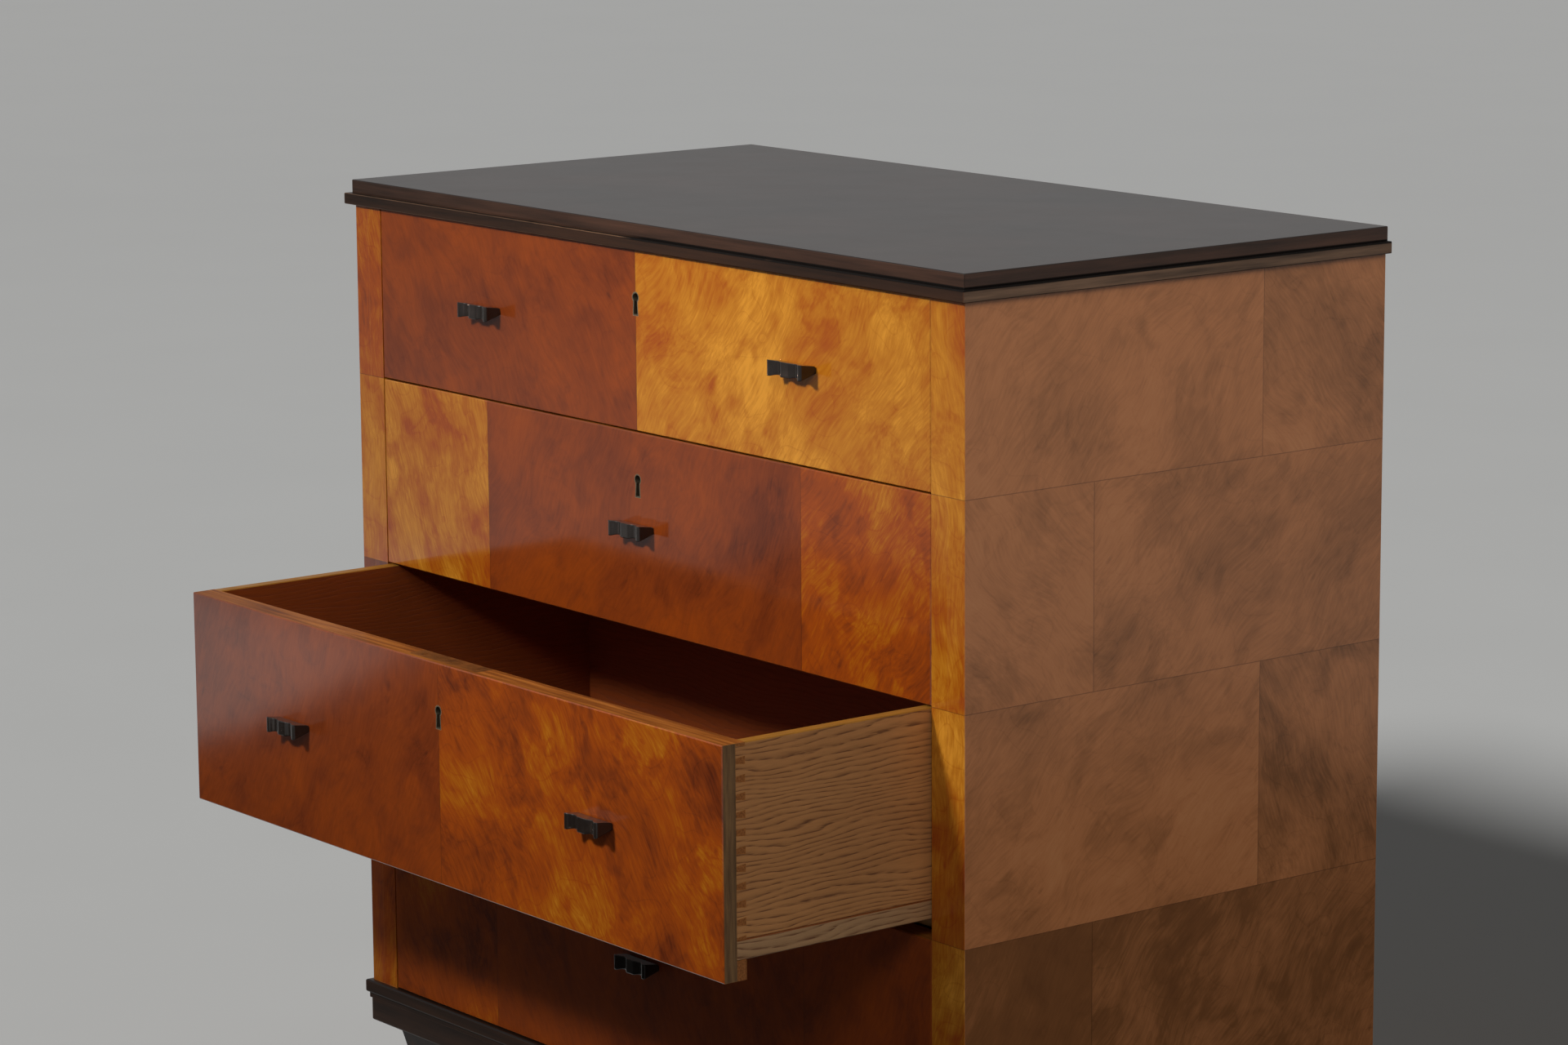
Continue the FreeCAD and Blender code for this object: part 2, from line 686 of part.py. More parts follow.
def pull(n, place):
    """A pull with two hollows across its face, thinner towards the drawer front."""
    body = drawer_body(n, "pull")
    middle = f"{place} * pull_spread / 2"
    foot = f"pull_foot_{n}"
    profile = (("0", "0"), ("pull_reach", "pull_under_rise"),
               ("pull_reach", "pull_height - pull_top_fall"), ("0", "pull_height"))
    sketch = sketch_on(body, "YZ_Plane", ("-pull_reach", foot, middle), profile)
    prism(body, "Pad", sketch, "pull_length")
    heel = number(f"{foot} + pull_height - pull_top_fall")
    round_edges(body, "pull_heel_round", lambda edge: lies_at(edge, y=0, z=heel))
    low = f"{foot} - overrun"
    tall = "pull_height + 2 * overrun"
    for hand in HANDS.values():
        rod(body, "Subtractive",
            (f"{middle} + {hand} * valley_offset", "valley_depth - valley_radius - pull_reach", low),
            "valley_radius", tall)
    block(body, "Subtractive",
          (f"{middle} - valley_offset", "-pull_reach - overrun", low),
          ("2 * valley_offset", "lobe_shy + overrun", tall))
    front, lobe = -number("pull_reach"), number("lobe_shy - pull_reach")
    ends = [number(f"{middle} + {hand} * pull_length / 2") for hand in HANDS.values()]
    round_edges(body, "lobe_round", lambda edge: (
        is_upright(edge) and (lies_at(edge, y=lobe) or lies_at(edge, y=front))
        and not any(lies_at(edge, x=x) for x in ends)))
    round_edges(body, "pull_end_round", lambda edge: any(lies_at(edge, x=x, y=front) for x in ends))
    for hand in HANDS.values():
        rod(body, "Additive",
            (f"{middle} + {hand} * peg_offset", "-overrun", f"peg_level_{n}"),
            "peg_radius", "peg_length + overrun", along="Y")
    return body


def drawer(n):
    drawer_front(n)
    for name, hand in HANDS.items():
        drawer_side(n, name, hand)
    drawer_back(n)
    drawer_floor(n)
    drawer_lock(n)
    group(f"drawer_{n}_pulls", [pull(n, place) for place in PULLS[n]])


# Build, check and write the pieces

for name, hand in HANDS.items():
    side_panel(name, hand)
    stile(name, hand)
case_boards()
drawer_supports()
top()
base()
for n in DRAWERS:
    drawer(n)
doc.recompute()

for thing in doc.Objects:
    if "Invalid" in thing.State or "Error" in thing.State:
        raise RuntimeError(f"{thing.Label} failed to compute: {thing.State}")
for label, piece in pieces.items():
    if piece.Shape.isNull() or not piece.Shape.isValid():
        raise RuntimeError(f"{label} has no valid shape")

os.makedirs("parts", exist_ok=True)
for label, piece in pieces.items():
    piece.Shape.exportStep(f"parts/{label}.step")
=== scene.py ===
import math

import bmesh
import bpy
from mathutils import Matrix, Vector


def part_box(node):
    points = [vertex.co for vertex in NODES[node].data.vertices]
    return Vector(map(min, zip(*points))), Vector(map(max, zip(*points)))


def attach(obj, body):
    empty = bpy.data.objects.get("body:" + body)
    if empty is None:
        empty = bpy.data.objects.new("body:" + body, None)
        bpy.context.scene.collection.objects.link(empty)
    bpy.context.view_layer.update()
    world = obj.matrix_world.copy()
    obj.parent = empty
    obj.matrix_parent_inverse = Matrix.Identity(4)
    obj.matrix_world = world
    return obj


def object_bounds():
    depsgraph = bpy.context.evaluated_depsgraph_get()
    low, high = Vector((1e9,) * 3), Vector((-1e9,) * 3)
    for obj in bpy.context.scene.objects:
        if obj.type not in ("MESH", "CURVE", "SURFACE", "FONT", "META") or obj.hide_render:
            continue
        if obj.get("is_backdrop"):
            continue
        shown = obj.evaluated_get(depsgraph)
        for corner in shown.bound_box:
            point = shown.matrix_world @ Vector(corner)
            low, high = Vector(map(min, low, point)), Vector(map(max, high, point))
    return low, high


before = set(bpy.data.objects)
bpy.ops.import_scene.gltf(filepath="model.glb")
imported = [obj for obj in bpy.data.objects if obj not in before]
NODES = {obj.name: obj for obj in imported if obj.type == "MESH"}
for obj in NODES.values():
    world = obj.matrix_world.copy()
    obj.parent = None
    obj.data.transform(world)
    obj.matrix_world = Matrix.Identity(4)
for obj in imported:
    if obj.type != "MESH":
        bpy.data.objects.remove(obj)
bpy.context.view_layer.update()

# A chest of four drawers in stained flame birch, with black top, base, legs and pulls.
# Everything is in metres in the frame of the solids: X to the right, Y to the back, Z up.

DRAWERS = (1, 2, 3, 4)
MM = 0.001
# How squarely a face has to look along an axis: within a front, with its eased arrises, or without them
INWARD = 0.5
WITH_ARRISES = 0.6
WITHOUT_ARRISES = 0.75
# Samples that find the arrises near a spot
ARRIS_SAMPLES = 4
# Wood, lacquer and polish all bend light about as much
WOOD_IOR = 1.5


# Helpers

def linear(hex_colour):
    """An sRGB hex colour as the linear RGBA that Blender mixes with."""
    parts = [int(hex_colour[i:i + 2], 16) / 255 for i in (1, 3, 5)]
    return (*(p / 12.92 if p <= 0.04045 else ((p + 0.055) / 1.055) ** 2.4 for p in parts), 1.0)


def per_metre(millimetres):
    """The texture scale that gives one repeat in so many millimetres."""
    return 1000 / millimetres


def add(tree, kind, inputs=None, out=None, stops=None, **settings):
    """Adds a node with its settings, values and links, and returns the output asked for."""
    made = tree.nodes.new("ShaderNode" + kind)
    for key, value in settings.items():
        setattr(made, key, value)
    if stops:
        elements = made.color_ramp.elements
        while len(elements) < len(stops):
            elements.new(1.0)
        for element, (place, colour) in zip(elements, stops):
            element.position = place
            element.color = linear(colour)
    for key, value in (inputs or {}).items():
        if isinstance(key, int):
            socket = made.inputs[key]
        else:
            socket = next(s for s in made.inputs if s.name == key and s.enabled)
        if isinstance(value, bpy.types.NodeSocket):
            tree.links.new(value, socket)
        else:
            socket.default_value = value
    if out:
        return made.outputs[out]
    return next((s for s in made.outputs if s.enabled), None)


def maths(tree, operation, *values):
    """One step of arithmetic on numbers or outputs."""
    return add(tree, "Math", dict(enumerate(values)), operation=operation)


def vectors(tree, operation, first, second, out=None):
    """One step of arithmetic on two vectors."""
    return add(tree, "VectorMath", {0: first, 1: second}, out=out, operation=operation)


def scaled(tree, vector, factor):
    return add(tree, "VectorMath", {0: vector, "Scale": factor}, operation="SCALE")


def axes(tree, vector):
    """The X, Y and Z of a vector."""
    return add(tree, "SeparateXYZ", {"Vector": vector}).node.outputs


def drawn_along(tree, place, named, scale):
    """Texture space drawn out along the axes named: the smaller the scale, the longer."""
    scales = [scale if axis in named else 1.0 for axis in "XYZ"]
    return add(tree, "Mapping", {"Vector": place, "Scale": scales})


def noise(tree, place, size_mm, detail, out=None, **inputs):
    """Cloudy noise that repeats about once in the size given."""
    values = {"Vector": place, "Scale": per_metre(size_mm), "Detail": detail, **inputs}
    return add(tree, "TexNoise", values, out=out)


def cells(tree, place, size_mm):
    """How far each spot is from the middle of its cell."""
    return add(tree, "TexVoronoi", {"Vector": place, "Scale": per_metre(size_mm)}, out="Distance")


def remap(tree, value, old=(0.0, 1.0), new=(0.0, 1.0), **settings):
    """A value carried from one range to another and held within it."""
    ends = {"From Min": old[0], "From Max": old[1], "To Min": new[0], "To Max": new[1]}
    return add(tree, "MapRange", {"Value": value, **ends}, **settings)


def ramp(tree, value, *stops):
    """Colours along a value, each stop a place and a hex colour."""
    return add(tree, "ValToRGB", {"Fac": value}, out="Color", stops=stops)


def mix(tree, share, under, over, **settings):
    """Two colours, as outputs or in hex, with so large a share of the second."""
    under, over = (linear(c) if isinstance(c, str) else c for c in (under, over))
    return add(tree, "Mix", {"Factor": share, "A": under, "B": over}, data_type="RGBA", **settings)


def bump(tree, height, strength, depth_mm, over=None, **settings):
    """A surface raised by a height between 0 and 1, over another normal where one is given."""
    values = {"Strength": strength, "Distance": depth_mm * MM, "Height": height}
    if over is not None:
        values["Normal"] = over
    return add(tree, "Bump", values, **settings)


def object_place(tree):
    return add(tree, "TexCoord", out="Object")


def object_normal(tree):
    return add(tree, "TexCoord", out="Normal")


def new_material(name):
    made = bpy.data.materials.new(name)
    made.use_nodes = True
    made.node_tree.nodes.clear()
    return made, made.node_tree


def surface(tree, **sockets):
    """Ends a material in one Principled shader."""
    named = {key.replace("_", " ").replace("ior", "IOR"): value for key, value in sockets.items()}
    shader = add(tree, "BsdfPrincipled", named)
    add(tree, "OutputMaterial", {"Surface": shader})


def dress(node, material):
    """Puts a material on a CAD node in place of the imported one."""
    slots = NODES[node].material_slots
    if not slots:
        NODES[node].data.materials.append(material)
    for slot in slots:
        slot.link = "OBJECT"
        slot.material = material


def put(name, data):
    """Puts a mesh, a lamp or a camera into the scene."""
    made = bpy.data.objects.new(name, data)
    bpy.context.scene.collection.objects.link(made)
    return made


def mesh_of(name, shape):
    """A mesh from a bmesh, which is then freed."""
    mesh = bpy.data.meshes.new(name)
    shape.to_mesh(mesh)
    shape.free()
    return mesh


def edge_wear(tree, reach_mm, patch_mm, full=0.06):
    """From 0 on flat wood to 1 along arrises, broken up as handling does it."""
    rounded = add(tree, "Bevel", {"Radius": reach_mm * MM}, samples=ARRIS_SAMPLES)
    flat = add(tree, "NewGeometry", out="Normal")
    facing = vectors(tree, "DOT_PRODUCT", rounded, flat, out="Value")
    patches = noise(tree, object_place(tree), patch_mm, detail=3.0)
    turned = maths(tree, "SUBTRACT", 1.0, facing)
    spread = maths(tree, "MULTIPLY", patches, 0.3)
    worn = maths(tree, "MULTIPLY", turned, spread)
    return remap(tree, worn, (0.01, full))


# Flame birch veneer: rotary-cut, so the figure is cloudy, with curling contour lines and fine slanting
# fibre. It is stained from honey to chestnut and lacquered, and glows under a clear, softly glossy skin.

BIRCH_STAINS = (
    (0.0, "#dc942c"),
    (0.15, "#c27a1c"),
    (0.3, "#b0600e"),
    (0.45, "#a2480c"),
    (0.75, "#7c3510"),
    (1.0, "#4c1c0a"),
)
SIDE_STAINS = (
    (0.0, "#cc8c5a"),
    (0.3, "#b87648"),
    (0.6, "#80502c"),
    (1.0, "#482815"),
)
# Half the width of the joint between two leaves
JOINT = 0.35 * MM
# What makes each leaf's place pick another stretch of the log
SEED_ALONG, SEED_UP = 7.3, 3.1
SEED_STEP = (0.37, 0.53, 0.71)
# Each part of the figure: the value that leaves the stain as it is, and how much it darkens above that
FIGURE = {
    "clouds": (0.5, 0.6),
    "mottles": (0.5, 0.2),
    "smoke": (0.25, 0.08),
    "blotches": (0.5, 0.2),
    "contour": (0.05, 0.06),
    "fibre": (0.5, 0.34),
    "fleck": (0.0, 0.14),
    "burl": (0.0, 0.45),
}


def leaves_of(tree, place, across, rows):
    """Which leaf of veneer lies where, and the thin lines of the joints between the leaves.

    rows go from the lowest up, each a level and its leaves, and each leaf a start along the axis across,
    a shade of stain and a lean of its fibre in degrees.
    """
    spot = axes(tree, place)
    run, height = spot[across], spot["Z"]
    leaf, joint = None, None
    for level, row in rows:
        row_leaf, row_joint = None, 0.0
        for start, shade, lean in row:
            data = (shade, start * SEED_ALONG + level * SEED_UP, math.radians(lean))
            if row_leaf is None:
                row_leaf = data
                continue
            beyond = maths(tree, "GREATER_THAN", run, start)
            row_leaf = add(tree, "Mix", {"Factor": beyond, "A": row_leaf, "B": data}, data_type="VECTOR")
            near = maths(tree, "COMPARE", run, start, JOINT)
            row_joint = maths(tree, "MAXIMUM", row_joint, near)
        if leaf is None:
            leaf, joint = row_leaf, row_joint
            continue
        above = maths(tree, "GREATER_THAN", height, level)
        leaf = add(tree, "Mix", {"Factor": above, "A": leaf, "B": row_leaf}, data_type="VECTOR")
        joint = add(tree, "Mix", {"Factor": above, "A": joint, "B": row_joint}, data_type="FLOAT")
        near = maths(tree, "COMPARE", height, level, JOINT)
        joint = maths(tree, "MAXIMUM", joint, near)
    return leaf, joint


def birch_figure(tree, place, leaf, axis, strength):
    """The leaf's shade with its clouds, mottles, contour lines, fibre and flecks, and the fibre alone."""
    shade, seed, lean = axes(tree, leaf)
    moved = vectors(tree, "ADD", place, scaled(tree, SEED_STEP, seed))
    turned = add(tree, "VectorRotate", {"Vector": moved, "Axis": axis, "Angle": lean})
    # The fibre wanders by some 15 mm over the width of a hand
    drift = noise(tree, turned, 100, detail=1.0, out="Color")
    centred = vectors(tree, "SUBTRACT", drift, (0.5, 0.5, 0.5))
    bent = vectors(tree, "ADD", turned, scaled(tree, centred, 45 * MM))
    clouds = noise(tree, bent, 110, detail=2.0, Roughness=0.5)
    # Smoky mottles some 30 mm wide, a little longer along the fibre, and finer ones within them
    long = drawn_along(tree, bent, "Z", 0.6)
    mottles = noise(tree, long, 32, detail=3.0, Roughness=0.6, Distortion=0.4)
    blotches = noise(tree, long, 11, detail=3.0)
    # The growth rings, cut almost flat, leave contour lines round the clouds
    ring = maths(tree, "FRACT", maths(tree, "MULTIPLY", clouds, 14.0))
    # Fibre is 0.2 mm wide; it is drawn about 1 mm wide so that it shows
    fibre = noise(tree, drawn_along(tree, bent, "Z", 0.08), 2.2, detail=3.0, Roughness=0.6)
    # Dark pith flecks, a few millimetres long, and a burl eye in every hand's breadth or so
    slim = drawn_along(tree, bent, "Z", 0.5)
    eye = remap(tree, cells(tree, slim, 115), (0.01, 0.09), (1.0, 0.0), interpolation_type="SMOOTHSTEP")
    parts = {
        "clouds": clouds,
        "mottles": mottles,
        "smoke": remap(tree, mottles, (0.5, 0.66), interpolation_type="SMOOTHSTEP"),
        "blotches": blotches,
        "contour": remap(tree, ring, (0.9, 1.0)),
        "fibre": fibre,
        "fleck": remap(tree, cells(tree, slim, 38), (0.02, 0.07), (1.0, 0.0)),
        "burl": maths(tree, "MULTIPLY", eye, blotches),
    }
    # An amber stain brings the figure out most, and a darker one hides it
    drawn_out = remap(tree, shade, (0.2, 0.45), (1.1 * strength, 1.7 * strength))
    hidden = remap(tree, shade, (0.5, 0.7), (1.0, 0.45))
    clear = maths(tree, "MULTIPLY", drawn_out, hidden)
    total = shade
    for name, (middle, share) in FIGURE.items():
        change = maths(tree, "SUBTRACT", parts[name], middle)
        change = maths(tree, "MULTIPLY", change, clear)
        total = maths(tree, "MULTIPLY_ADD", change, share, total)
    return total, fibre


def birch_colour(tree, place, across, axis, rows, stains, strength=1.0):
    """Veneer in leaves with the joints between them, and its fibre."""
    leaf, joint = leaves_of(tree, place, across, rows)
    shade, fibre = birch_figure(tree, place, leaf, axis, strength)
    seam = maths(tree, "MULTIPLY", joint, 0.5)
    return mix(tree, seam, ramp(tree, shade, *stains), "#3a1c0c"), fibre


def lacquer(tree, place, colour, fibre, haze, cover=1.0):
    """Clear lacquer over stained wood, rubbed through to paler wood along the arrises."""
    worn = edge_wear(tree, reach_mm=1.2, patch_mm=18)
    rubbed = maths(tree, "MULTIPLY", worn, 0.5)
    colour = mix(tree, rubbed, colour, "#c8843c")
    rough = remap(tree, fibre, new=(0.4, 0.6))
    grain = bump(tree, fibre, strength=0.08, depth_mm=0.4)
    swell = noise(tree, place, 60, detail=1.0)
    skin = bump(tree, swell, strength=0.05, depth_mm=2.0)
    # The lacquer has nearly the wood's own index, so the light is mirrored once, at its skin
    surface(tree, Base_Color=colour, Roughness=rough, Normal=grain, ior=WOOD_IOR, Specular_ior_Level=0.08,
            Coat_Weight=cover, Coat_Roughness=haze, Coat_ior=WOOD_IOR, Coat_Normal=skin)


# Ebonised wood: close-grained wood stained black and polished to satin, worn brown on its mouldings.

# Level of the ledge where the two tiers of the top meet
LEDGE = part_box("top_moulding_front")[1].z


def ebonised(name, along, gloss, haze, thin="#40281a", soft_mm=0.3, wear_mm=2.0, wear=0.4,
             dark_arris=0.9, rub=0.0):
    """Black wood with its grain along the axes named, and the colour of its thin places.

    soft_mm eases the arrises, wear lets brown wood show near them within wear_mm, dark_arris keeps them
    black, and rub lays them bare where hands have been.
    """
    made, tree = new_material(name)
    place = object_place(tree)
    lengthwise = drawn_along(tree, place, along, 0.05)
    # Pores are 0.2 mm wide; they are drawn 1.5 mm wide so that they show
    grain = noise(tree, lengthwise, 3.0, detail=3.0)
    patches = noise(tree, lengthwise, 9, detail=4.0, Roughness=0.65)
    bald = remap(tree, patches, (0.3, 0.75), (0.1, 0.9))
    # Upright faces are rubbed more than the top
    across, deep, level = [maths(tree, "ABSOLUTE", part) for part in axes(tree, object_normal(tree))]
    upright = remap(tree, level, (0.3, 0.9), (1.0, 0.25))
    streaked = maths(tree, "MULTIPLY", bald, upright)
    worn = maths(tree, "MULTIPLY", edge_wear(tree, wear_mm, patch_mm=30), wear)
    colour = mix(tree, worn, mix(tree, streaked, "#1a120d", thin), "#6a442c")
    # The eased arrises are darkened towards black
    square = maths(tree, "MAXIMUM", maths(tree, "MAXIMUM", level, across), deep)
    arris = remap(tree, square, (0.8, 0.95), (dark_arris, 0.0))
    # Hands have rubbed the left of the front
    sideways, _, height = axes(tree, place)
    ragged = noise(tree, place, 45, detail=4.0)
    reach = maths(tree, "MULTIPLY_ADD", ragged, 0.8, sideways)
    handled = remap(tree, reach, (0.3, 0.45), (1.0, 0.0))
    # Painted shade: the inner corner along the ledge, where the two tiers meet, is darkened nearly to black
    # and loses its coat, less so on the left where hands have rubbed
    off_ledge = maths(tree, "ABSOLUTE", maths(tree, "SUBTRACT", height, LEDGE))
    corner = remap(tree, off_ledge, (1.0 * MM, 1.8 * MM), (1.0, 0.0))
    left = remap(tree, handled, new=(1.0, 0.25))
    ledge_shade = maths(tree, "MULTIPLY", corner, left)
    colour = mix(tree, maths(tree, "MAXIMUM", arris, ledge_shade), colour, "#0c0806")
    bright = maths(tree, "MULTIPLY", arris, handled)
    bright = maths(tree, "MULTIPLY", bright, bald)
    bright = maths(tree, "MULTIPLY", bright, rub)
    colour = mix(tree, bright, colour, "#a87c58")
    rough = remap(tree, grain, new=(0.48, 0.56))
    eased = add(tree, "Bevel", {"Radius": soft_mm * MM}, samples=ARRIS_SAMPLES)
    pores = bump(tree, grain, strength=0.1, depth_mm=0.4, over=eased)
    # The painted shade on the ledge also takes the coat away
    cover = maths(tree, "MULTIPLY_ADD", ledge_shade, -gloss, gloss)
    surface(tree, Base_Color=colour, Roughness=rough, Normal=pores, ior=WOOD_IOR, Specular_ior_Level=0.1,
            Coat_Weight=cover, Coat_Roughness=haze, Coat_ior=WOOD_IOR, Coat_Normal=eased)
    return made


# Oak: ring-porous, so dark lines of open pores run along the growth rings, over a plain dry surface.

SIDE_OAK = ("#d09258", "#b07440")
SLIP_OAK = ("#c89a6c", "#a07850")
# Stained and polished towards the linen
INSIDE_STAIN = "#b67c3c"
# Lighter and yellower where hands have polished it
RUBBED = "#dcd874"


def growth_rings(tree, height, ring_mm, drift, wander):
    """From 0 to 1 across each growth ring, pushed up and down by the wander of the trunk."""
    rings = maths(tree, "MULTIPLY", height, per_metre(ring_mm))
    return maths(tree, "FRACT", maths(tree, "MULTIPLY_ADD", drift, wander, rings))


def oak_colour(tree, place, along, up, tones):
    """Oak's colour, its pores, and its colour without them."""
    lengthwise = drawn_along(tree, place, along, 0.22)
    drift = noise(tree, lengthwise, 46, detail=4.0, Roughness=0.45)
    ring = growth_rings(tree, axes(tree, place)[up], ring_mm=4.5, drift=drift, wander=10.0)
    early = ramp(tree, ring, (0.0, "#000000"), (0.1, "#ffffff"), (0.3, "#b0b0b0"), (0.55, "#484848"),
                 (1.0, "#000000"))
    # Pores are 0.3 mm wide and lie in dashes; they are drawn 0.8 mm wide so that they show
    pores = noise(tree, drawn_along(tree, place, along, 0.09), 1.6, detail=2.0)
    open_pores = remap(tree, pores, (0.38, 0.58), (0.2, 1.0))
    dark = maths(tree, "MULTIPLY", early, open_pores)
    clouds = noise(tree, lengthwise, 40, detail=2.0)
    fine = mix(tree, pores, "#d0d0d0", "#ffffff")
    ground = mix(tree, 1.0, mix(tree, clouds, *tones), fine, blend_type="MULTIPLY")
    return mix(tree, dark, ground, "#5c341a"), dark, ground


def oak(name, along, up, tones, stains):
    """Oak with a stain on the faces that look in each direction given."""
    made, tree = new_material(name)
    colour, dark, ground = oak_colour(tree, object_place(tree), along, up, tones)
    # The stain and the polish hide most of the pores
    quiet = mix(tree, 0.7, colour, ground)
    out = object_normal(tree)
    for direction, stain in stains:
        toward = vectors(tree, "DOT_PRODUCT", out, direction, out="Value")
        faces = maths(tree, "GREATER_THAN", toward, WITH_ARRISES)
        stained = mix(tree, 1.0, quiet, stain, blend_type="MULTIPLY")
        colour = mix(tree, faces, colour, stained)
    rough = remap(tree, dark, new=(0.5, 0.72))
    sunk = bump(tree, dark, strength=0.25, depth_mm=0.4, invert=True)
    surface(tree, Base_Color=colour, Roughness=rough, Normal=sunk, ior=WOOD_IOR)
    return made


# Pine: planed softwood with wide pale bands, narrow resinous ones and the dust of a century.

def pine(name, along, up):
    made, tree = new_material(name)
    place = object_place(tree)
    drift = noise(tree, drawn_along(tree, place, along, 0.07), 70, detail=2.0)
    # The rings come out wide on a flat-sawn board
    ring = growth_rings(tree, axes(tree, place)[up], ring_mm=12, drift=drift, wander=9.0)
    colour = ramp(tree, ring, (0.0, "#c79a62"), (0.62, "#bd8c52"), (0.86, "#96622f"), (1.0, "#c0915a"))
    dust = noise(tree, place, 110, detail=5.0)
    grey = remap(tree, dust, (0.4, 0.8), (0.0, 0.5))
    colour = mix(tree, grey, colour, "#7d6244")
    rough = remap(tree, dust, new=(0.6, 0.8))
    raised = bump(tree, ring, strength=0.15, depth_mm=0.5)
    surface(tree, Base_Color=colour, Roughness=rough, Normal=raised, ior=WOOD_IOR)
    return made


# Brass, rolled and filed, gone brown with handling: dull yellow metal with darker bloom and fine scratches.

def aged_brass():
    made, tree = new_material("aged_brass")
    place = object_place(tree)
    bloom = noise(tree, place, 14, detail=5.0, Roughness=0.65)
    # File marks are 0.1 mm apart; they are drawn 0.8 mm apart so that they show
    marks = noise(tree, drawn_along(tree, place, "X", 0.05), 0.8, detail=2.0)
    dark = remap(tree, bloom, (0.4, 0.65))
    colour = mix(tree, dark, "#ac7c3c", "#6c441c")
    rough = remap(tree, bloom, new=(0.3, 0.6))
    scratched = bump(tree, marks, strength=0.15, depth_mm=0.2)
    surface(tree, Base_Color=colour, Metallic=1.0, Roughness=rough, Normal=scratched)
    return made


# Bronze with a dark patina: nearly black, with a pale rim on the keyhole that is partly rubbed metal and
# partly a painted highlight standing in for its glints.

def dark_bronze():
    made, tree = new_material("dark_bronze")
    bloom = noise(tree, object_place(tree), 5, detail=4.0)
    # Painted highlight: the pale rim stands for rubbed bronze and for the glints on it
    worn = edge_wear(tree, reach_mm=0.5, patch_mm=6, full=0.05)
    colour = mix(tree, worn, mix(tree, bloom, "#6e6454", "#8a7d66"), "#d8ccb0")
    rough = remap(tree, bloom, new=(0.45, 0.65))
    surface(tree, Base_Color=colour, Metallic=1.0, Roughness=rough)
    return made


# Leaves of veneer on the fronts, the stiles and the sides

HALF_GAP = 0.75 * MM
# The line below each drawer
LINES = [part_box(f"drawer_{n}_front")[0].z - HALF_GAP for n in DRAWERS]
# Shades of stain, from the lightest
GOLD, HONEY, AMBER, COPPER, RUSSET, CHESTNUT = 0.19, 0.3, 0.42, 0.49, 0.58, 0.7
# A first leaf starts beyond the end of the board
END = -0.5
# The outer joints of a front of three leaves, from its middle
OUTER = 0.221
# Each leaf has its start, its shade and the lean of its fibre in degrees
FRONT_LEAVES = {
    1: ((END, CHESTNUT, 35), (0.0, GOLD, -38)),
    2: ((END, HONEY, 20), (-OUTER, CHESTNUT, -30), (OUTER, AMBER, -40)),
    3: ((END, CHESTNUT, -25), (0.0, COPPER, 40)),
    4: ((END, RUSSET, 25), (-OUTER, CHESTNUT, 30), (OUTER, CHESTNUT, -30)),
}
# Thickness of the wood in front of the dovetails
LAP = 13 * MM
# Where each row of leaves on the stiles and the sides starts, from the lowest up
FLOOR_UP = (0.0, LINES[2], LINES[1], LINES[0])
STILE_SHADES = {
    "left": (0.42, 0.75, 0.22, 0.43),
    "right": (0.33, 0.31, 0.3, 0.16),
}
STILE_LEANS = (-12, -4, 4, 12)
# The joint between the front and the rear leaf moves from row to row
SIDE_JOINTS = (-0.092, 0.089, -0.092, 0.089)
# The front and the rear leaf of each row, from the lowest up; the lowest row is also painted darker, a
# painted shade where the light falls off towards the floor
SIDE_TONES_AND_SHADE = ((0.64, 0.54), (0.36, 0.45), (0.34, 0.38), (0.32, 0.4))
SIDE_LEANS = ((35, 40), (50, -20), (-45, 45), (40, -35))
# The figure shows less on the sides
SIDE_STRENGTH = 0.55


def front_material(n):
    """A drawer front: veneer on its face, a lipping above and below, stained ends and oak within."""
    made, tree = new_material(f"flame_birch_front_{n}")
    place = object_place(tree)
    colour, fibre = birch_colour(tree, place, "X", (0, 1, 0), ((0.0, FRONT_LEAVES[n]),), BIRCH_STAINS)
    out_x, out_y, out_z = axes(tree, object_normal(tree))
    # Solid birch lipping on the upper and lower edges, its fibre along the drawer
    streaks = noise(tree, drawn_along(tree, place, "X", 0.05), 4, detail=4.0)
    lipping = ramp(tree, streaks, (0.3, "#a8662a"), (0.5, "#8a4e1a"), (0.7, "#643210"))
    is_edge = maths(tree, "GREATER_THAN", maths(tree, "ABSOLUTE", out_z), WITHOUT_ARRISES)
    colour = mix(tree, is_edge, colour, lipping)
    # The ends: a dark stained strip in front of the dovetails, and the pins' end grain behind it
    smears = noise(tree, drawn_along(tree, place, "Z", 0.08), 5, detail=5.0, Roughness=0.7)
    strip = ramp(tree, smears, (0.3, "#4e3a28"), (0.5, "#70543a"), (0.75, "#8e6c46"))
    pins = ramp(tree, noise(tree, place, 1.6, detail=3.0), (0.3, "#a4683a"), (0.7, "#744626"))
    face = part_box(f"drawer_{n}_front")[0].y
    past_lap = maths(tree, "GREATER_THAN", axes(tree, place)["Y"], face + LAP)
    is_end = maths(tree, "GREATER_THAN", maths(tree, "ABSOLUTE", out_x), WITHOUT_ARRISES)
    colour = mix(tree, is_end, colour, mix(tree, past_lap, strip, pins))
    # The inner face is oak, stained as the rest of the box is within
    plain = oak_colour(tree, place, "X", "Z", SIDE_OAK)[2]
    within = mix(tree, 1.0, plain, INSIDE_STAIN, blend_type="MULTIPLY")
    is_inner = maths(tree, "GREATER_THAN", out_y, INWARD)
    colour = mix(tree, is_inner, colour, within)
    # The ends and the inner face have no lacquer, and handling has dulled the lipping's
    bare = maths(tree, "MAXIMUM", is_inner, is_end)
    dull = maths(tree, "MULTIPLY", is_edge, 0.95)
    bare = maths(tree, "MAXIMUM", bare, dull)
    covered = maths(tree, "SUBTRACT", 1.0, bare)
    lacquer(tree, place, colour, fibre, haze=0.1, cover=covered)
    return made


